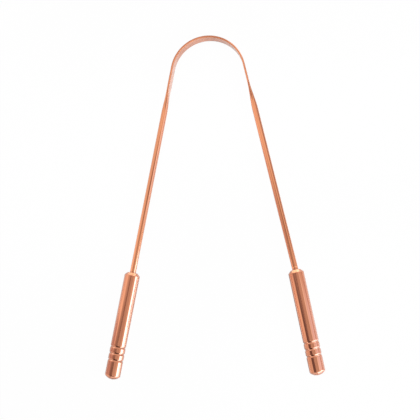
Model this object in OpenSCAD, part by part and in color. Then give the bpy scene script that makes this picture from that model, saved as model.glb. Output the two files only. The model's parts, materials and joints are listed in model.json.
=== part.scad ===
// Tongue scraper: one copper rod bent into a bow, with its middle pressed flat as
// the blade, and a turned copper grip pushed onto each end of the rod.
// It lies flat, with +Y towards the crown of the blade and +Z up.
// The origin is on the surface that it lies on, under the middle of the scraper.

/* [Rod] */
// Diameter of the round rod
rod_d = 2.5; // [2:0.1:3]
// Length of each arm, from the end of the crown's bend to the mouth of the grip
left_arm_len = 88.1; // [60:0.1:120]
right_arm_len = 88.9; // [60:0.1:120]
// Angle that each arm leans outwards
arm_lean = 12.1; // [6:0.1:20]

/* [Blade] */
// Thickness of the pressed blade
blade_t = 0.85; // [0.7:0.05:1.2]
// Radius of the crown, at the middle of the blade's thickness
crown_r = 15.45; // [10:0.05:25]
// Flat straight stretch at each end of the crown
flat_len = 7.8; // [2:0.1:16]
// Stretch over which the flat blade runs out into the round rod
taper_len = 12.1; // [6:0.1:20]

/* [Grips] */
// Diameter of each grip
grip_d = 6.4; // [6:0.1:9]
// Length of each grip, from its mouth to its tip: they are cut by hand and differ
left_grip_len = 44.5; // [30:0.1:60]
right_grip_len = 43.1; // [30:0.1:60]
// Angle that the left grip turns inwards from its arm
left_toe_in = 0; // [0:0.1:4]
// Angle that the right grip turns inwards from its arm
right_toe_in = 1.8; // [0:0.1:4]
// Height and breadth of the chamfer round the mouth
mouth_chamfer = 1.2; // [0.4:0.05:1.6]
// Rounding of the two edges of that chamfer
chamfer_round = 0.3; // [0.1:0.05:0.5]
// Height of the domed tip, above the start of its rounded rim
tip_height = 1.9; // [1.5:0.1:2.8]
// Radius of that rim, between the dome and the side
rim_round = 1; // [0.4:0.1:1.4]

/* [Grooves] */
// Number of turned grooves near the tip
groove_count = 3; // [0:1:5]
// Distance from the tip to the nearest groove
groove_from_tip = 8; // [6:0.1:12]
// Distance between neighbouring grooves
groove_pitch = 2.7; // [1.5:0.1:4]
// Width of a groove where it meets the side
groove_w = 1; // [0.4:0.05:1.2]
// Depth of a groove, which is a V with an equal slope on both sides
groove_depth = 0.3; // [0.1:0.05:0.5]

/* [Seat of the rod in the grip] */
// Length of the rod's shank inside the grip
shank_len = 14; // [6:0.5:20]
// Gap all round the shank in its bore
bore_clearance = 0.03; // [0.02:0.01:0.1]

/* [Hidden] */
$fn = 96;

// Colours of the copper rod and of the copper grips
rod_colour = [0.78, 0.46, 0.34];
grip_colour = [0.84, 0.53, 0.41];

// The two sides of the scraper, as factors of a distance along X
left = -1;
right = 1;

// How far a cutter runs past the face that it opens
overrun = 0.5;
// How far one stretch of the rod runs inside the next, and how much slimmer it is there
lap = 0.3;
seam = 0.01;
// Rings along a taper, points round one ring, and steps along a rounded edge
taper_rings = 16;
ring_points = 32;
edge_steps = 8;

grip_r = grip_d / 2;
shank_d = rod_d - 2 * seam;
blade_w = pressed_width(blade_t);
// Height of the rod's axis when the grips or the blade rest on the surface
axis_z = max(grip_d, blade_w) / 2;

// Radius of the dome that rises that high over its rim and runs smoothly into it
rim_across = grip_r - rim_round;
dome_r = (pow(rim_across, 2) + pow(tip_height, 2) - pow(rim_round, 2)) / 2 / (tip_height - rim_round);
// Angle on the tip's outline where the rim runs into the dome
rim_angle = atan2(dome_r - tip_height, rim_across);

// Centre of the crown, which keeps the origin under the middle of the scraper
crown_x = (reach_across(left) - reach_across(right)) / 2;
crown_y = (max(reach_below(left), reach_below(right)) - crown_r - blade_t / 2) / 2;

function arm_len(side) = side == left ? left_arm_len : right_arm_len;
function grip_len(side) = side == left ? left_grip_len : right_grip_len;
function toe_in(side) = side == left ? left_toe_in : right_toe_in;
function grip_lean(side) = arm_lean - toe_in(side);

// Distances from the centre of the crown to the mouth of a grip
function mouth_across(side) = crown_r * cos(arm_lean) + arm_len(side) * sin(arm_lean);
function mouth_below(side) = arm_len(side) * cos(arm_lean) - crown_r * sin(arm_lean);

// Centres of the dome and of the rim's rounding, measured from the mouth
function dome_at(side) = grip_len(side) - dome_r;
function rim_at(side) = grip_len(side) - tip_height;

// Furthest that a grip reaches sideways and downwards from the centre of the crown
function reach_across(side) = mouth_across(side) + rim_at(side) * sin(grip_lean(side))
    + rim_across * cos(grip_lean(side)) + rim_round;
function reach_below(side) = mouth_below(side) + dome_at(side) * cos(grip_lean(side)) + dome_r;

// Width of the rod once it is pressed to a thickness, with its cross-section kept.
// The section is a straight flank between two half-round edges.
function pressed_width(t) = t + PI / 4 * (rod_d * rod_d - t * t) / t;

// Even start and end for a change that runs from 0 to 1
function eased(x) = x * x * (3 - 2 * x);

// Points on an arc about a centre, between two angles
function arc(centre, r, from, to) = [
    for (i = [0 : edge_steps])
        let (a = from + (to - from) * i / edge_steps)
        centre + r * [cos(a), sin(a)]
];

// Points round a pressed section at a height: X is its thickness and Y its width.
// The straight sides between the points touch the true outline from outside.
function section(t, w, height) = [
    for (i = [0 : ring_points - 1])
        let (
            a = (i + 0.5) * 360 / ring_points,
            r = t / 2 / cos(180 / ring_points)
        )
        [r * cos(a), r * sin(a) + sign(sin(a)) * (w - t) / 2, height]
];

// The same at a share of the way from the flat blade to the round rod, inside the seam
function taper_section(share) =
    let (t = blade_t + (rod_d - blade_t) * eased(share))
    section(t - 2 * seam, pressed_width(t) - 2 * seam, flat_len + share * taper_len);

// Outline of a grip from its mouth to its tip: X is the radius, Y the distance
function grip_outline(side) = let (
    // A corner of half a right angle draws its rounding back by this much
    draw_back = chamfer_round * tan(22.5),
    face_edge = [grip_r - mouth_chamfer - draw_back, chamfer_round],
    side_edge = [grip_r - chamfer_round, mouth_chamfer + draw_back]
) concat(
    [[0, 0]],
    arc(face_edge, chamfer_round, -90, -45),
    arc(side_edge, chamfer_round, -45, 0),
    arc([rim_across, rim_at(side)], rim_round, 0, rim_angle),
    arc([0, dome_at(side)], dome_r, rim_angle, 90)
);

// Outline of the cutter of a groove, which keeps its slope out past the side of the grip
function groove_outline() = let (
    out = grip_r + overrun,
    half = groove_w / 2 * (groove_depth + overrun) / groove_depth
) [[grip_r - groove_depth, 0], [out, -half], [out, half]];

// Sets its children on an arm: their +Z runs along it, from a distance past the crown
module on_arm(side, along) {
    across = crown_r * cos(arm_lean) + along * sin(arm_lean);
    above = crown_r * sin(arm_lean) - along * cos(arm_lean);
    translate([crown_x + side * across, crown_y + above, axis_z])
        rotate([90, 0, side * arm_lean])
            children();
}

// Sets its children on the axis of a grip: their +Z runs from its mouth to its tip
module on_grip(side) {
    translate([crown_x + side * mouth_across(side), crown_y - mouth_below(side), axis_z])
        rotate([90, 0, side * grip_lean(side)])
            children();
}

// Section of the blade: two half-round edges joined by straight flanks
module blade_section() {
    edge_at = (blade_w - blade_t) / 2;
    square([blade_t, 2 * edge_at], center = true);
    for (y = [-edge_at, edge_at])
        translate([0, y])
            circle(d = blade_t);
}

// One side of the blade, from the crown: a flat stretch that runs out into the round rod
module side_of_blade() {
    points = [
        each section(blade_t - 2 * seam, blade_w - 2 * seam, -lap),
        for (k = [0 : taper_rings]) each taper_section(k / taper_rings)
    ];
    last = len(points) - ring_points;
    sides = [
        for (low = [0 : ring_points : last - 1], i = [0 : ring_points - 1])
            let (j = (i + 1) % ring_points, high = low + ring_points)
            each [[low + i, high + i, high + j], [low + i, high + j, low + j]]
    ];
    ends = [
        [for (i = [0 : ring_points - 1]) i],
        [for (i = [0 : ring_points - 1]) last + ring_points - 1 - i]
    ];
    polyhedron(points = points, faces = concat(sides, ends), convexity = 4);
}

// The rod: crown, sides of the blade, round arms, and shanks that go into the grips
module bow() {
    color(rod_colour) {
        translate([crown_x, crown_y, axis_z])
            rotate([0, 0, arm_lean])
                rotate_extrude(angle = 180 - 2 * arm_lean)
                    translate([crown_r, 0])
                        blade_section();
        for (side = [left, right]) {
            on_arm(side, 0)
                side_of_blade();
            on_arm(side, flat_len + taper_len - lap)
                cylinder(d = rod_d, h = arm_len(side) - flat_len - taper_len + lap);
            on_grip(side)
                translate([0, 0, -lap])
                    cylinder(d = shank_d, h = shank_len + lap);
        }
    }
}

// A turned grip: chamfered mouth, domed tip, blind bore and decorative grooves
module grip(side) {
    color(grip_colour)
        on_grip(side)
            difference() {
                rotate_extrude()
                    polygon(grip_outline(side));
                translate([0, 0, -overrun])
                    cylinder(d = shank_d + 2 * bore_clearance, h = shank_len + overrun);
                for (i = [0 : 1 : groove_count - 1])
                    translate([0, 0, grip_len(side) - groove_from_tip - i * groove_pitch])
                        rotate_extrude()
                            polygon(groove_outline());
            }
}

module left_grip() {
    grip(left);
}

module right_grip() {
    grip(right);
}

bow();
left_grip();
right_grip();
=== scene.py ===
"""A polished copper tongue scraper, lying flat on a pale table under studio light."""

import json
import math

import bpy
from mathutils import Matrix, Vector


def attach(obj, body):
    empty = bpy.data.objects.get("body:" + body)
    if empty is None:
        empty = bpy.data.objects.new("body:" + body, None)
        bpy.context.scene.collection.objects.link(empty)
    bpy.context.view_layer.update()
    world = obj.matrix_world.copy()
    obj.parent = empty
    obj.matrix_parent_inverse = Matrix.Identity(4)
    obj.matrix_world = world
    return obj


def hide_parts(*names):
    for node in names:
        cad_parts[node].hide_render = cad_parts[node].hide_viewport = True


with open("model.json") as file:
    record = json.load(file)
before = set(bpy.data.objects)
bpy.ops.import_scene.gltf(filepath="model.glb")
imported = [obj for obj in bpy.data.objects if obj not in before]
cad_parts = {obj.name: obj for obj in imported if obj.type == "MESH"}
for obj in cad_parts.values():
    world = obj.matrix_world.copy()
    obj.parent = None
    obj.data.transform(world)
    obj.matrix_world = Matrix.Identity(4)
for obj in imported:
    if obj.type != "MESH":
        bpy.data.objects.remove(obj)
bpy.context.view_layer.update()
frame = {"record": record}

MM = 0.001
LEFT, RIGHT = -1, 1
UP = Vector((0, 0, 1))
NOTHING = Vector((0, 0, 0))

# The rod, pressed flat at its middle, and its length from the top of the crown to an arm
ROD_RADIUS = 1.25 * MM
BLADE_THICKNESS = 0.85 * MM
CROWN_RADIUS = 15.45 * MM
ARM_LENGTH = {LEFT: 88.1 * MM, RIGHT: 88.9 * MM}
ARM_LEAN = math.radians(12.1)
FLAT_LENGTH = 7.8 * MM
TAPER_LENGTH = 12.1 * MM
SHANK_LENGTH = 14 * MM
HALF_BEND = CROWN_RADIUS * (math.pi / 2 - ARM_LEAN)

# The grips
GRIP_LENGTH = {LEFT: 44.5 * MM, RIGHT: 43.1 * MM}
TOE_IN = {LEFT: 0.0, RIGHT: math.radians(1.8)}
MOUTH_CHAMFER = 1.2 * MM
CHAMFER_BULGE = 0.045 * MM
CHAMFER_ROUND = 0.3 * MM
TIP_HEIGHT = 1.9 * MM
RIM_ROUND = 1.0 * MM
BORE_GAP = 0.02 * MM
BORE_EDGE = 0.08 * MM

# Their grooves, with the roundings of a groove's lips and of its floor
GROOVE_COUNT = 3
GROOVE_FROM_TIP = 8.0 * MM
GROOVE_PITCH = 2.7 * MM
GROOVE_WIDTH = 1.0 * MM
GROOVE_DEPTH = 0.3 * MM
GROOVE_LIP = 0.4 * MM
GROOVE_FLOOR = 0.08 * MM

# Painted shade, a dark colour that stands in for the shade in recesses: its reach from where the rod
# enters a grip, its strength in the grooves, and the share of a groove's depth that it leaves bare
DARK_REACH = 0.35 * MM
GROOVE_PAINTED_SHADE = 0.6
UNSHADED_SHARE = 0.45

# The colour of the painted shade, and how much rougher the recesses and pressing make the copper
PAINTED_SHADE_COLOUR = (0.06, 0.02, 0.012, 1.0)
RECESS_ROUGHENS = 0.3
PRESSING_ROUGHENS = 0.14

# Fineness of the meshes
RING_SPACING = 0.4 * MM
END_SPACING_SHARE = 0.15
POINTS_AROUND = 72
CORNER_STEPS = 6
FLANK_SHARPNESS = 5.0
SEAM_DISTANCE = 1e-7

# Where the CAD part holds the middle of the crown and the radius of a grip
MOUNTS = {mount["name"]: mount for mount in frame["record"]["mounts"]}
CROWN_CENTRE = Vector(MOUNTS["hanging_crown"]["pos_m"])
GRIP_RADIUS = MOUNTS["left_grip_outside"]["dims"]["r_mm"] * MM

# The photograph's camera: its place over the table, what it looks at, its turn and its lens
CAMERA_PLACE = CROWN_CENTRE + Vector((45.487, -104.962, 379.657)) * MM
CAMERA_TARGET = CROWN_CENTRE + Vector((-0.695, -57.872, 0)) * MM
CAMERA_TURN = math.radians(1.292)
CAMERA_LENS = 79.7


def put(tree, kind, inputs=None, **settings):
    """Adds a node, sets it up, and feeds each input from a socket or a plain value."""
    node = tree.nodes.new(kind)
    for name, value in settings.items():
        setattr(node, name, value)
    for key, value in (inputs or {}).items():
        if isinstance(value, bpy.types.NodeSocket):
            tree.links.new(value, node.inputs[key])
        else:
            node.inputs[key].default_value = value
    return node


def maths(tree, operation, *values, kind="ShaderNodeMath"):
    """The result of one sum, given sockets or numbers."""
    return put(tree, kind, dict(enumerate(values)), operation=operation).outputs[0]


def add_socket(tree, name, kind, default=None, into=True):
    """Adds a named input, or output, to a node group."""
    socket = tree.interface.new_socket(name, in_out="INPUT" if into else "OUTPUT", socket_type=kind)
    if default is not None:
        socket.default_value = default
    return socket


def bare_material(name):
    """A new material and its node tree, which is empty."""
    material = bpy.data.materials.new(name)
    material.use_nodes = True
    material.node_tree.nodes.clear()
    return material, material.node_tree


def in_scene(name, data):
    """A new object that stands in the scene."""
    thing = bpy.data.objects.new(name, data)
    bpy.context.scene.collection.objects.link(thing)
    return thing


def flat_sheet(name, width, height):
    """A flat rectangular mesh about the origin."""
    w, h = width / 2, height / 2
    mesh = bpy.data.meshes.new(name)
    mesh.from_pydata([(-w, -h, 0), (w, -h, 0), (w, h, 0), (-w, h, 0)], [], [(0, 1, 2, 3)])
    return mesh


# Rings and the skin over them


def skin_tree():
    """Geometry nodes that lay one smooth closed skin over a row of rings.

    Each vertex of the piece is the middle of a ring. Its attributes say how the ring lies:
    round it, a point is at middle + across * cos + upward * sin + straight * held sine,
    so that a straight flank stands between two half-round edges where straight isn't zero.
    Way Round is 1 or -1, and with it the angle grows or falls, which turns the faces about.
    """
    tree = bpy.data.node_groups.new("skin_over_rings", "GeometryNodeTree")
    add_socket(tree, "Rings", "NodeSocketGeometry")
    add_socket(tree, "Points Around", "NodeSocketInt", POINTS_AROUND)
    add_socket(tree, "Flank Sharpness", "NodeSocketFloat", FLANK_SHARPNESS)
    add_socket(tree, "Way Round", "NodeSocketFloat", 1.0)
    add_socket(tree, "Finish", "NodeSocketMaterial")
    add_socket(tree, "Skin", "NodeSocketGeometry", into=False)
    given = put(tree, "NodeGroupInput").outputs
    rings = given["Rings"]
    around = given["Points Around"]

    def whole(operation, a, b):
        return maths(tree, operation, a, b, kind="FunctionNodeIntegerMath")

    counted = put(tree, "GeometryNodeAttributeDomainSize", {0: rings}, component="MESH").outputs
    columns = whole("ADD", around, 1)
    grid = put(
        tree, "GeometryNodeMeshGrid",
        {"Vertices X": counted["Point Count"], "Vertices Y": columns},
    ).outputs["Mesh"]
    index = put(tree, "GeometryNodeInputIndex").outputs[0]
    ring = whole("DIVIDE_FLOOR", index, columns)
    step = whole("MODULO", index, columns)
    full_turn = maths(tree, "MULTIPLY", given["Way Round"], 2 * math.pi)
    angle = maths(tree, "MULTIPLY", maths(tree, "DIVIDE", step, around), full_turn)
    cosine = maths(tree, "COSINE", angle)
    sine = maths(tree, "SINE", angle)
    sharpened = maths(tree, "MULTIPLY", sine, given["Flank Sharpness"])
    held_sine = put(tree, "ShaderNodeClamp", {"Value": sharpened, "Min": -1.0, "Max": 1.0}).outputs[0]

    def of_ring(value, data_type="FLOAT_VECTOR"):
        sampler = put(
            tree, "GeometryNodeSampleIndex", {"Geometry": rings, "Index": ring},
            data_type=data_type, domain="POINT",
        )
        tree.links.new(value, sampler.inputs["Value"])
        return sampler.outputs["Value"]

    def attribute(name, data_type="FLOAT_VECTOR"):
        named = put(tree, "GeometryNodeInputNamedAttribute", {"Name": name}, data_type=data_type)
        return named.outputs["Attribute"]

    def scaled(vector, factor):
        return put(tree, "ShaderNodeVectorMath", {0: vector, "Scale": factor}, operation="SCALE").outputs[0]

    def total(*vectors):
        result = vectors[0]
        for vector in vectors[1:]:
            result = put(tree, "ShaderNodeVectorMath", {0: result, 1: vector}, operation="ADD").outputs[0]
        return result

    def length(vector):
        return put(tree, "ShaderNodeVectorMath", {0: vector}, operation="LENGTH").outputs["Value"]

    across = of_ring(attribute("across"))
    upward = of_ring(attribute("upward"))
    straight = of_ring(attribute("straight"))
    middle = of_ring(put(tree, "GeometryNodeInputPosition").outputs[0])
    along = of_ring(attribute("along", "FLOAT"), "FLOAT")
    pressed = of_ring(attribute("pressed", "FLOAT"), "FLOAT")
    recess = of_ring(attribute("recess", "FLOAT"), "FLOAT")
    place = total(middle, scaled(across, cosine), scaled(upward, sine), scaled(straight, held_sine))

    # The same point in the piece's own measure: across it, over it, and along it
    own_x = maths(tree, "MULTIPLY", length(across), cosine)
    own_y = maths(
        tree, "ADD",
        maths(tree, "MULTIPLY", length(upward), sine),
        maths(tree, "MULTIPLY", length(straight), held_sine),
    )
    own_place = put(tree, "ShaderNodeCombineXYZ", {0: own_x, 1: own_y, 2: along}).outputs[0]

    laid = put(tree, "GeometryNodeSetPosition", {"Geometry": grid, "Position": place}).outputs[0]
    for name, value, data_type in (
        ("own_place", own_place, "FLOAT_VECTOR"),
        ("pressed", pressed, "FLOAT"),
        ("recess", recess, "FLOAT"),
    ):
        laid = put(
            tree, "GeometryNodeStoreNamedAttribute", {"Geometry": laid, "Name": name, "Value": value},
            data_type=data_type, domain="POINT",
        ).outputs[0]
    closed = put(
        tree, "GeometryNodeMergeByDistance", {"Geometry": laid, "Distance": SEAM_DISTANCE},
    ).outputs[0]
    smooth = put(tree, "GeometryNodeSetShadeSmooth", {"Geometry": closed}).outputs[0]
    realized = put(tree, "GeometryNodeRealizeInstances", {"Geometry": smooth}).outputs[0]
    finished = put(
        tree, "GeometryNodeSetMaterial", {"Geometry": realized, "Material": given["Finish"]},
    ).outputs[0]
    put(tree, "NodeGroupOutput", {0: finished})
    return tree


def way_round(rings):
    """The way round the rings, 1 or -1, that makes the faces of their skin point outwards."""
    k = len(rings) // 2
    onward = rings[k + 1]["middle"] - rings[k]["middle"]
    return -1.0 if rings[k]["across"].cross(rings[k]["upward"]).dot(onward) > 0 else 1.0


def skinned(name, rings, tree, finish):
    """A plain mesh object: the skin over rings.

    Each ring is a dict of its middle and of the attributes that are listed here.
    """
    mesh = bpy.data.meshes.new(name + "_rings")
    mesh.from_pydata([ring["middle"] for ring in rings], [], [])
    for key, kind, field in (
        ("across", "FLOAT_VECTOR", "vector"),
        ("upward", "FLOAT_VECTOR", "vector"),
        ("straight", "FLOAT_VECTOR", "vector"),
        ("along", "FLOAT", "value"),
        ("pressed", "FLOAT", "value"),
        ("recess", "FLOAT", "value"),
    ):
        layer = mesh.attributes.new(key, kind, "POINT")
        for item, ring in zip(layer.data, rings):
            setattr(item, field, ring[key])
    source = in_scene(name + "_rings", mesh)
    modifier = source.modifiers.new("skin", "NODES")
    modifier.node_group = tree
    identifiers = {item.name: item.identifier for item in tree.interface.items_tree}
    modifier[identifiers["Points Around"]] = POINTS_AROUND
    modifier[identifiers["Flank Sharpness"]] = FLANK_SHARPNESS
    modifier[identifiers["Way Round"]] = way_round(rings)
    modifier[identifiers["Finish"]] = finish
    bpy.context.view_layer.update()
    evaluated = source.evaluated_get(bpy.context.evaluated_depsgraph_get())
    plain = bpy.data.meshes.new_from_object(evaluated)
    plain.name = name
    bpy.data.objects.remove(source)
    return in_scene(name, plain)


# The pressed rod


def pressed_width(thickness):
    """Width of the rod once it is pressed to a thickness, with its cross-section kept."""
    rod = 2 * ROD_RADIUS
    return thickness + math.pi / 4 * (rod * rod - thickness * thickness) / thickness


def eased(x):
    """Even start and end for a change that runs from 0 to 1."""
    x = min(max(x, 0.0), 1.0)
    return x * x * (3 - 2 * x)


def arm_direction(side, lean=ARM_LEAN):
    """The way from the crown along an arm, or along a grip that has a lean of its own."""
    return Vector((side * math.sin(lean), -math.cos(lean), 0))


def outward(side, angle=ARM_LEAN):
    """The way from the middle of the scraper out to a side, at an angle over the X axis."""
    return Vector((side * math.cos(angle), math.sin(angle), 0))


def grip_mouth(side):
    """Where the axis of an arm meets the mouth of its grip."""
    return CROWN_CENTRE + outward(side) * CROWN_RADIUS + arm_direction(side) * ARM_LENGTH[side]


def rod_station(distance):
    """Middle, outward direction and thickness of the rod at a distance from the crown's top."""
    side = LEFT if distance < 0 else RIGHT
    run = abs(distance)
    if run <= HALF_BEND:
        out = outward(side, math.pi / 2 - run / CROWN_RADIUS)
        return CROWN_CENTRE + out * CROWN_RADIUS, out, BLADE_THICKNESS
    past = run - HALF_BEND
    regained = (2 * ROD_RADIUS - BLADE_THICKNESS) * eased((past - FLAT_LENGTH) / TAPER_LENGTH)
    thickness = BLADE_THICKNESS + regained
    if past <= ARM_LENGTH[side]:
        out = outward(side)
        return CROWN_CENTRE + out * CROWN_RADIUS + arm_direction(side) * past, out, thickness
    lean = ARM_LEAN - TOE_IN[side]
    middle = grip_mouth(side) + arm_direction(side, lean) * (past - ARM_LENGTH[side])
    return middle, outward(side, lean), thickness


def bow_rings():
    """Rings from the end of the left shank, over the crown, to the end of the right shank."""
    mouths = {LEFT: -HALF_BEND - ARM_LENGTH[LEFT], RIGHT: HALF_BEND + ARM_LENGTH[RIGHT]}
    start = mouths[LEFT] - SHANK_LENGTH
    end = mouths[RIGHT] + SHANK_LENGTH
    count = math.ceil((end - start) / RING_SPACING)
    rings = []
    for k in range(count + 1):
        distance = start + (end - start) * k / count
        middle, out, thickness = rod_station(distance)
        width = pressed_width(thickness)
        ring = {
            "middle": middle,
            "across": out * thickness / 2,
            "upward": UP * thickness / 2,
            "straight": UP * (width - thickness) / 2,
            "along": distance,
            "pressed": (width - thickness) / (pressed_width(BLADE_THICKNESS) - BLADE_THICKNESS),
            # Painted shade: the rod darkens towards each grip's mouth, where shade falls in the joint
            "recess": eased(1 - min(distance - mouths[LEFT], mouths[RIGHT] - distance) / DARK_REACH),
        }
        rings.append(ring)
    first = dict(rings[0], across=NOTHING, upward=NOTHING, straight=NOTHING)
    last = dict(rings[-1], across=NOTHING, upward=NOTHING, straight=NOTHING)
    return [first] + rings + [last]


# The turned grips


def arc(centre, radius, start, end, steps=CORNER_STEPS):
    """Points on an arc of the outline, between two angles in degrees."""
    points = []
    for k in range(steps + 1):
        angle = math.radians(start + (end - start) * k / steps)
        points.append((centre[0] + radius * math.cos(angle), centre[1] + radius * math.sin(angle)))
    return points


def rounded(points, index, radius):
    """The outline's points with the corner at an index swapped for a bend of about that radius."""
    before, corner, after = (Vector(points[i]) for i in (index - 1, index, index + 1))
    inward = (before - corner).normalized()
    onward = (after - corner).normalized()
    half = inward.angle(onward) / 2
    # The bend takes no more than this share of the side before or after the corner
    most = 0.9
    reach = min(radius / math.tan(half), (before - corner).length * most, (after - corner).length * most)
    bend = []
    for k in range(CORNER_STEPS + 1):
        t = k / CORNER_STEPS
        a = corner + inward * reach * (1 - t)
        b = corner + onward * reach * t
        bend.append(tuple(a.lerp(b, t)))
    return points[:index] + bend + points[index + 1:]


def groove(middle):
    """One V-shaped groove in the side, with its lips and its floor softened, from mouth to tip."""
    half = GROOVE_WIDTH / 2
    points = [
        (GRIP_RADIUS, middle - 2 * half),
        (GRIP_RADIUS, middle - half),
        (GRIP_RADIUS - GROOVE_DEPTH, middle),
        (GRIP_RADIUS, middle + half),
        (GRIP_RADIUS, middle + 2 * half),
    ]
    for index, radius in ((3, GROOVE_LIP), (2, GROOVE_FLOOR), (1, GROOVE_LIP)):
        points = rounded(points, index, radius)
    return points


def polished_chamfer(start, end):
    """Points between the two edges of the chamfer, which polishing has left a little domed."""
    steps = 2 * CORNER_STEPS
    points = []
    for k in range(1, steps):
        t = k / steps
        # The dome is a parabola that stands square to the slope of 45 degrees
        bulge = CHAMFER_BULGE * 4 * t * (1 - t) * math.sqrt(0.5)
        middle = Vector(start).lerp(Vector(end), t)
        points.append((middle.x + bulge, middle.y - bulge))
    return points


def grip_outline(side):
    """Radius and distance from the mouth, from the floor of the bore, over the mouth, to the tip."""
    bore = ROD_RADIUS + BORE_GAP
    # A corner of half a right angle draws its rounding back by this much
    draw_back = CHAMFER_ROUND * math.tan(math.radians(22.5))
    rim_across = GRIP_RADIUS - RIM_ROUND
    dome = (rim_across ** 2 + TIP_HEIGHT ** 2 - RIM_ROUND ** 2) / 2 / (TIP_HEIGHT - RIM_ROUND)
    dome_at = GRIP_LENGTH[side] - dome
    rim_at = GRIP_LENGTH[side] - TIP_HEIGHT
    rim_angle = math.degrees(math.atan2(rim_at - dome_at, rim_across))
    outline = [(0.0, SHANK_LENGTH), (bore, SHANK_LENGTH)]
    outline += arc((bore + BORE_EDGE, BORE_EDGE), BORE_EDGE, 180, 270)
    face_edge = arc((GRIP_RADIUS - MOUTH_CHAMFER - draw_back, CHAMFER_ROUND), CHAMFER_ROUND, -90, -45)
    side_edge = arc((GRIP_RADIUS - CHAMFER_ROUND, MOUTH_CHAMFER + draw_back), CHAMFER_ROUND, -45, 0)
    outline += face_edge + polished_chamfer(face_edge[-1], side_edge[0]) + side_edge
    for k in reversed(range(GROOVE_COUNT)):
        outline += groove(GRIP_LENGTH[side] - GROOVE_FROM_TIP - k * GROOVE_PITCH)
    outline += arc((rim_across, rim_at), RIM_ROUND, 0, rim_angle, 2 * CORNER_STEPS)
    outline += arc((0, dome_at), dome, rim_angle, 90, 3 * CORNER_STEPS)[1:]
    return outline


def finely(outline, spacing):
    """The outline with its long straight runs cut up, and a point close to each of their ends."""
    points = [Vector(outline[0])]
    for target in outline[1:]:
        start = points[-1].copy()
        target = Vector(target)
        run = (target - start).length
        if run > spacing:
            count = math.ceil(run / spacing)
            close = END_SPACING_SHARE / count
            shares = [close] + [k / count for k in range(1, count)] + [1 - close]
            points += [start.lerp(target, share) for share in shares]
        points.append(target)
    return points


def grip_rings(side):
    """Rings of a turned grip, along its outline."""
    lean = ARM_LEAN - TOE_IN[side]
    axis = arm_direction(side, lean)
    across = outward(side, lean) * side
    mouth = grip_mouth(side)
    grooved_end = GROOVE_FROM_TIP + GROOVE_COUNT * GROOVE_PITCH
    rings = []
    travelled = 0.0
    outline = finely(grip_outline(side), RING_SPACING)
    for k, (radius, distance) in enumerate(outline):
        travelled += (outline[k] - outline[max(k - 1, 0)]).length
        # Painted shade: darker at the edge of the bore and on the groove floors, where shade falls
        shaded_recess = 0.0
        if distance < 2 * DARK_REACH:
            shaded_recess = eased(1 - (radius - ROD_RADIUS) / DARK_REACH)
        if TIP_HEIGHT < GRIP_LENGTH[side] - distance < grooved_end:
            sunk_share = (GRIP_RADIUS - radius) / GROOVE_DEPTH
            shaded_recess = GROOVE_PAINTED_SHADE * eased(sunk_share - UNSHADED_SHARE)
        ring = {
            "middle": mouth + axis * distance,
            "across": across * radius,
            "upward": UP * radius,
            "straight": NOTHING,
            "along": travelled,
            "pressed": 0.0,
            "recess": shaded_recess,
        }
        rings.append(ring)
    return rings


# Copper


def colour_of(red, green, blue):
    """A colour as it looks on screen, turned into the shader's linear values."""
    def linear(c):
        return c / 12.92 if c <= 0.04045 else ((c + 0.055) / 1.055) ** 2.4
    return (linear(red), linear(green), linear(blue), 1.0)


def worked_lines_group():
    """Shader group: the marks of working metal.

    Lines run one way, and Waves are the soft hollows that a polisher leaves.
    """
    tree = bpy.data.node_groups.new("worked_lines", "ShaderNodeTree")
    add_socket(tree, "Place", "NodeSocketVector")
    add_socket(tree, "Lines per Metre", "NodeSocketVector", (4000.0, 4000.0, 60.0))
    add_socket(tree, "Waves per Metre", "NodeSocketVector", (600.0, 600.0, 150.0))
    add_socket(tree, "Lines", "NodeSocketFloat", into=False)
    add_socket(tree, "Waves", "NodeSocketFloat", into=False)
    given = put(tree, "NodeGroupInput").outputs

    def noise(density, detail):
        place = put(
            tree, "ShaderNodeVectorMath", {0: given["Place"], 1: given[density]}, operation="MULTIPLY",
        ).outputs[0]
        grain = put(
            tree, "ShaderNodeTexNoise",
            {"Vector": place, "Scale": 1.0, "Detail": detail, "Roughness": 0.55},
        )
        return grain.outputs["Fac"]

    lines = noise("Lines per Metre", 3.0)
    waves = noise("Waves per Metre", 1.0)
    put(tree, "NodeGroupOutput", {"Lines": lines, "Waves": waves})
    return tree


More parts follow.
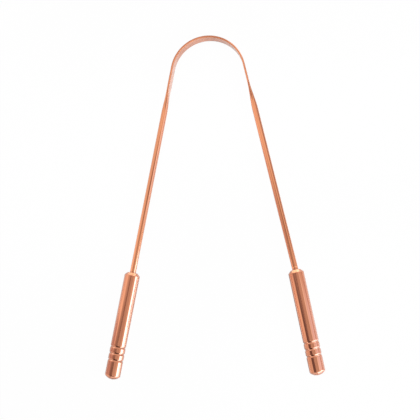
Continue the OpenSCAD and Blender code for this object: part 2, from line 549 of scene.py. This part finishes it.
def shade_and_dulling_group():
    """Shader group: how copper dulls, and how it is darkened by painted shade.

    It dulls where the marks of working lie thick and where it was pressed, and in a recess it
    dulls and takes a painted shade.
    """
    tree = bpy.data.node_groups.new("shade_and_dulling", "ShaderNodeTree")
    add_socket(tree, "Bright", "NodeSocketColor")
    add_socket(tree, "Dull", "NodeSocketColor")
    add_socket(tree, "Marks", "NodeSocketFloat", 0.5)
    add_socket(tree, "Recess", "NodeSocketFloat", 0.0)
    add_socket(tree, "Pressed", "NodeSocketFloat", 0.0)
    add_socket(tree, "Least Roughness", "NodeSocketFloat", 0.1)
    add_socket(tree, "Most Roughness", "NodeSocketFloat", 0.2)
    add_socket(tree, "Colour", "NodeSocketColor", into=False)
    add_socket(tree, "Roughness", "NodeSocketFloat", into=False)
    given = put(tree, "NodeGroupInput").outputs
    marked = put(
        tree, "ShaderNodeMapRange", {"Value": given["Marks"], "From Min": 0.3, "From Max": 0.7},
    ).outputs[0]
    colour = put(
        tree, "ShaderNodeMix", {0: marked, 6: given["Bright"], 7: given["Dull"]}, data_type="RGBA",
    ).outputs[2]
    # Painted shade: a recess takes on the dark shade colour
    colour = put(
        tree, "ShaderNodeMix", {0: given["Recess"], 6: colour, 7: PAINTED_SHADE_COLOUR}, data_type="RGBA",
    ).outputs[2]
    roughness = put(
        tree, "ShaderNodeMapRange",
        {"Value": marked, "To Min": given["Least Roughness"], "To Max": given["Most Roughness"]},
    ).outputs[0]
    shaded_recess = maths(tree, "MULTIPLY", given["Recess"], RECESS_ROUGHENS)
    pressed = maths(tree, "MULTIPLY", given["Pressed"], PRESSING_ROUGHENS)
    roughness = maths(tree, "ADD", maths(tree, "ADD", roughness, shaded_recess), pressed)
    put(tree, "NodeGroupOutput", {"Colour": colour, "Roughness": roughness})
    return tree


def copper(name, bright, dull, roughness, marks):
    """Polished copper, with its least and most roughness and its marks of working.

    Each of the marks holds lines and waves per metre, the depths of both in millimetres, and
    whether they are on the pressed blade or on the rest.
    """
    material, nodes = bare_material(name)
    own_place = put(nodes, "ShaderNodeAttribute", attribute_name="own_place").outputs["Vector"]
    pressed = put(nodes, "ShaderNodeAttribute", attribute_name="pressed").outputs["Fac"]
    recess = put(nodes, "ShaderNodeAttribute", attribute_name="recess").outputs["Fac"]
    shown = 0.0
    height = 0.0
    for lines, waves, line_depth, wave_depth, on_pressed in marks:
        worked = put(nodes, "ShaderNodeGroup", node_tree=bpy.data.node_groups["worked_lines"])
        nodes.links.new(own_place, worked.inputs["Place"])
        worked.inputs["Lines per Metre"].default_value = lines
        worked.inputs["Waves per Metre"].default_value = waves
        depth = maths(nodes, "MULTIPLY", worked.outputs["Lines"], line_depth)
        depth = maths(nodes, "ADD", depth, maths(nodes, "MULTIPLY", worked.outputs["Waves"], wave_depth))
        share = pressed if on_pressed else maths(nodes, "SUBTRACT", 1.0, pressed)
        height = maths(nodes, "ADD", height, maths(nodes, "MULTIPLY", depth, share))
        shown = maths(nodes, "ADD", shown, maths(nodes, "MULTIPLY", worked.outputs["Lines"], share))
    # Painted shade in recesses, with the dulling of worked copper
    dulled_and_shaded = put(nodes, "ShaderNodeGroup", node_tree=bpy.data.node_groups["shade_and_dulling"])
    dulled_and_shaded.inputs["Bright"].default_value = bright
    dulled_and_shaded.inputs["Dull"].default_value = dull
    dulled_and_shaded.inputs["Least Roughness"].default_value = roughness[0]
    dulled_and_shaded.inputs["Most Roughness"].default_value = roughness[1]
    nodes.links.new(shown, dulled_and_shaded.inputs["Marks"])
    nodes.links.new(recess, dulled_and_shaded.inputs["Recess"])
    nodes.links.new(pressed, dulled_and_shaded.inputs["Pressed"])
    bump = put(nodes, "ShaderNodeBump", {"Strength": 1.0, "Distance": MM, "Height": height})
    surface = put(
        nodes, "ShaderNodeBsdfPrincipled",
        {
            "Base Color": dulled_and_shaded.outputs["Colour"], "Roughness": dulled_and_shaded.outputs["Roughness"],
            "Metallic": 1.0, "Normal": bump.outputs[0],
        },
    )
    surface.inputs["Coat Weight"].default_value = 1.0
    surface.inputs["Coat Roughness"].default_value = 0.08
    put(nodes, "ShaderNodeOutputMaterial", {"Surface": surface.outputs[0]})
    return material


# Table, light and camera


def soft_edge_group():
    """Shader group: 1 inside a rectangle about the origin, falling smoothly to 0 at its edges."""
    tree = bpy.data.node_groups.new("soft_edge", "ShaderNodeTree")
    add_socket(tree, "Place", "NodeSocketVector")
    add_socket(tree, "Half Width", "NodeSocketFloat", 0.1)
    add_socket(tree, "Half Height", "NodeSocketFloat", 0.1)
    add_socket(tree, "Side Softness", "NodeSocketFloat", 0.02)
    add_socket(tree, "End Softness", "NodeSocketFloat", 0.02)
    add_socket(tree, "Mask", "NodeSocketFloat", into=False)
    given = put(tree, "NodeGroupInput").outputs
    parts = put(tree, "ShaderNodeSeparateXYZ", {0: given["Place"]}).outputs

    def inside(coordinate, half, softness):
        depth = maths(tree, "SUBTRACT", half, maths(tree, "ABSOLUTE", coordinate))
        share = put(
            tree, "ShaderNodeMapRange", {"Value": depth, "From Max": softness},
            interpolation_type="SMOOTHSTEP",
        )
        return share.outputs[0]

    across = inside(parts["X"], given["Half Width"], given["Side Softness"])
    along = inside(parts["Y"], given["Half Height"], given["End Softness"])
    mask = maths(tree, "MULTIPLY", across, along)
    put(tree, "NodeGroupOutput", {0: mask})
    return tree


def card(name, centre, size, facing, colour, strength, soft, for_table=False):
    """A studio card that faces a point, with its places and sizes in millimetres.

    Soft is how far it fades at its sides and at its ends. Either it shows only in the copper,
    or it only lights the table.
    """
    material, nodes = bare_material(name)
    place = put(nodes, "ShaderNodeTexCoord").outputs["Object"]
    edge = put(nodes, "ShaderNodeGroup", node_tree=bpy.data.node_groups["soft_edge"])
    nodes.links.new(place, edge.inputs["Place"])
    edge.inputs["Half Width"].default_value = size[0] / 2 * MM
    edge.inputs["Half Height"].default_value = size[1] / 2 * MM
    edge.inputs["Side Softness"].default_value = soft[0] * MM
    edge.inputs["End Softness"].default_value = soft[1] * MM
    glow = put(nodes, "ShaderNodeEmission", {"Color": (*colour, 1), "Strength": strength})
    clear = put(nodes, "ShaderNodeBsdfTransparent")
    mixed = put(nodes, "ShaderNodeMixShader", {0: edge.outputs[0], 1: clear.outputs[0], 2: glow.outputs[0]})
    put(nodes, "ShaderNodeOutputMaterial", {"Surface": mixed.outputs[0]})

    mesh = flat_sheet(name, size[0] * MM, size[1] * MM)
    mesh.materials.append(material)
    board = in_scene(name, mesh)
    board.location = Vector(centre) * MM
    board.rotation_mode = "QUATERNION"
    board.rotation_quaternion = (Vector(facing) - Vector(centre)).to_track_quat("Z", "Y")
    board.visible_camera = False
    board.visible_diffuse = for_table
    board.visible_glossy = not for_table
    board.visible_shadow = False


def table_top():
    """The pale table: white to the eye, with the object's shadow, and a soft gloss in the copper."""
    width = 6.0
    white_to_the_eye = 0.98
    white_in_the_copper = 0.2
    material, nodes = bare_material("pale_table")
    path = put(nodes, "ShaderNodeLightPath").outputs
    in_metal = maths(nodes, "MAXIMUM", path["Is Glossy Ray"], path["Is Transmission Ray"])
    share = maths(
        nodes, "ADD",
        maths(nodes, "MULTIPLY", path["Is Camera Ray"], white_to_the_eye),
        maths(nodes, "MULTIPLY", in_metal, white_in_the_copper),
    )
    lacquer = put(
        nodes, "ShaderNodeBsdfPrincipled",
        {"Base Color": (0.92, 0.92, 0.92, 1), "Roughness": 0.2, "Metallic": 0.5},
    )
    glow = put(nodes, "ShaderNodeEmission", {"Color": (1, 1, 1, 1), "Strength": 1.0})
    mixed = put(nodes, "ShaderNodeMixShader", {0: share, 1: lacquer.outputs[0], 2: glow.outputs[0]})
    put(nodes, "ShaderNodeOutputMaterial", {"Surface": mixed.outputs[0]})
    mesh = flat_sheet("table_top", width, width)
    mesh.materials.append(material)
    in_scene("table_top", mesh)


def room():
    """A white room: plain white to the eye, a little dimmer as light and in the copper."""
    dimmer_in_the_copper = 0.06
    dimmer_as_light = 0.5
    world = bpy.data.worlds.new("white_room")
    bpy.context.scene.world = world
    world.use_nodes = True
    nodes = world.node_tree
    nodes.nodes.clear()
    path = put(nodes, "ShaderNodeLightPath").outputs
    dimmed = maths(
        nodes, "ADD",
        maths(nodes, "MULTIPLY", path["Is Glossy Ray"], dimmer_in_the_copper),
        maths(nodes, "MULTIPLY", path["Is Diffuse Ray"], dimmer_as_light),
    )
    strength = maths(nodes, "SUBTRACT", 1.0, dimmed)
    background = put(nodes, "ShaderNodeBackground", {"Color": (1, 1, 1, 1), "Strength": strength})
    put(nodes, "ShaderNodeOutputWorld", {"Surface": background.outputs[0]})


def studio_cards():
    """Bright and dark cards whose reflections draw the bands along the copper."""
    white = (1.0, 1.0, 1.0)
    cool = (1.0, 1.18, 1.35)
    sky = (1.0, 1.22, 1.68)
    window = (0.62, 1.0, 1.45)
    warm_dark = (1.0, 0.85, 0.96)
    soft_edge_group()
    card("table_light", (560, -260, 340), (400, 400), (0, 0, 0), white, 18.0, (60, 60), for_table=True)
    card("bright_strip", (386, -177, 105), (202, 255), (-11, 36, 90), window, 5.0, (34, 32))
    card("east_panel", (430, -10, 190), (150, 400), (0, -10, 190), sky, 1.15, (40, 60))
    card("dark_corner", (430, 180, 150), (200, 330), (0, 90, 150), warm_dark, 0.42, (40, 60))
    card("east_base", (425, 15, 25), (150, 90), (0, 15, 25), warm_dark, 0.7, (30, 20))
    card("east_ceiling", (380, 0, 395), (235, 170), (380, 0, 0), cool, 1.25, (40, 40))
    card("north_panel", (-60, 480, 150), (960, 320), (-60, 0, 150), cool, 1.5, (60, 40))
    card("rim_flag", (-25, 110, 35), (150, 90), (1, 55, 35), warm_dark, 0.6, (25, 15))
    card("inner_rim_flag", (2, 56, 18), (24, 36), (-11, 66, 18), white, 0.95, (5, 6))
    card("northeast_panel", (350, 430, 60), (260, 160), (0, 0, 60), window, 3.0, (50, 40))
    card("south_panel", (80, -520, 45), (700, 150), (80, 0, 45), cool, 2.0, (60, 40))
    card("southeast_panel", (255, -385, 85), (350, 230), (40, -60, 85), window, 4.0, (50, 40))
    card("south_dark", (-80, -390, 190), (420, 230), (-20, -60, 0), warm_dark, 0.08, (50, 40))
    card("west_panel", (-440, -10, 150), (350, 320), (0, -10, 150), white, 1.2, (70, 60))
    card("west_flag", (-430, -31, 98), (130, 276), (0, -31, 98), warm_dark, 0.7, (22, 40))
    card("west_high_flag", (-430, -48, 310), (96, 220), (0, -48, 310), warm_dark, 0.66, (22, 40))
    card("west_glow", (-428, 42, 310), (100, 180), (0, 42, 310), white, 1.3, (25, 40))
    card("grip_flag", (-240, -208, 400), (460, 535), (-240, -208, 0), warm_dark, 0.24, (60, 170))
    card("half_flag", (110, -132, 398), (280, 275), (110, -132, 0), white, 0.72, (30, 30))
    card("right_mouth_glow", (86, -17, 160), (180, 50), (86, -17, 0), white, 0.8, (90, 16))
    card("rod_flag", (87, 0, 400), (426, 190), (87, 0, 0), warm_dark, 0.38, (60, 50))
    card("rod_edge_glow", (262, 72, 397), (130, 85), (262, 72, 0), white, 1.1, (35, 25))
    card("rod_glow", (20, 130, 399), (420, 80), (20, 130, 0), white, 1.2, (60, 35))
    card("crown_flag", (-20, 275, 400), (460, 240), (-20, 275, 0), warm_dark, 0.6, (60, 50))


def mouth_lamps():
    """A small lamp on each arm that shows as a bright crescent in the chamfer of the grip's mouth."""
    width = 5.2 * MM
    height = 3.2 * MM
    before_mouth = 1.3 * MM
    above_arm = 2.6 * MM
    upward_tilt = 0.04
    power_per_area = 4
    for side, name, strength in ((LEFT, "left_mouth_lamp", 0.9), (RIGHT, "right_mouth_lamp", 1.1)):
        data = bpy.data.lights.new(name, "AREA")
        data.shape = "RECTANGLE"
        data.size = width
        data.size_y = height
        data.color = (0.8, 1.0, 0.9)
        data.energy = power_per_area * width * height * strength
        lamp = in_scene(name, data)
        lamp.location = grip_mouth(side) - arm_direction(side) * before_mouth + UP * above_arm
        lamp.rotation_mode = "QUATERNION"
        lamp.rotation_quaternion = (arm_direction(side) + UP * upward_tilt).to_track_quat("-Z", "Y")
        lamp.visible_camera = False
        lamp.visible_diffuse = False


def photograph_camera():
    """The camera, with the place, turn and lens that fit the photograph."""
    camera = in_scene("camera", bpy.data.cameras.new("camera"))
    bpy.context.scene.camera = camera
    forward = (CAMERA_TARGET - CAMERA_PLACE).normalized()
    right = forward.cross(Vector((math.sin(CAMERA_TURN), math.cos(CAMERA_TURN), 0))).normalized()
    up = right.cross(forward)
    turn = Matrix((right, up, -forward)).transposed()
    camera.matrix_world = Matrix.Translation(CAMERA_PLACE) @ turn.to_4x4()
    camera.data.sensor_width = 36.0
    camera.data.lens = CAMERA_LENS
    camera.data.clip_start = 0.01


def dress():
    """Puts a finely made piece in the place of each CAD node."""
    skin = skin_tree()
    worked_lines_group()
    shade_and_dulling_group()
    drawing_marks = ((3500.0, 3500.0, 60.0), (500.0, 500.0, 120.0), 0.0006, 0.004, False)
    pressing_marks = ((300.0, 120.0, 2200.0), (300.0, 300.0, 500.0), 0.0014, 0.005, True)
    turning_marks = ((1100.0, 1100.0, 45.0), (300.0, 300.0, 90.0), 0.0004, 0.004, False)
    drawn = copper(
        "drawn_copper", colour_of(0.935, 0.605, 0.418), colour_of(0.9, 0.567, 0.385), (0.06, 0.14),
        [drawing_marks, pressing_marks],
    )
    turned = copper(
        "turned_copper", colour_of(0.9, 0.583, 0.422), colour_of(0.82, 0.495, 0.34), (0.05, 0.12),
        [turning_marks],
    )
    bow = skinned("pressed_bow", bow_rings(), skin, drawn)
    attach(bow, "root")
    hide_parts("bow")
    for side, name in ((LEFT, "left"), (RIGHT, "right")):
        grip = skinned("turned_grip_" + name, grip_rings(side), skin, turned)
        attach(grip, "root")
        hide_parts(name + "_grip")


bpy.context.scene.view_settings.view_transform = "Standard"
photograph_camera()
room()
table_top()
studio_cards()
mouth_lamps()
dress()
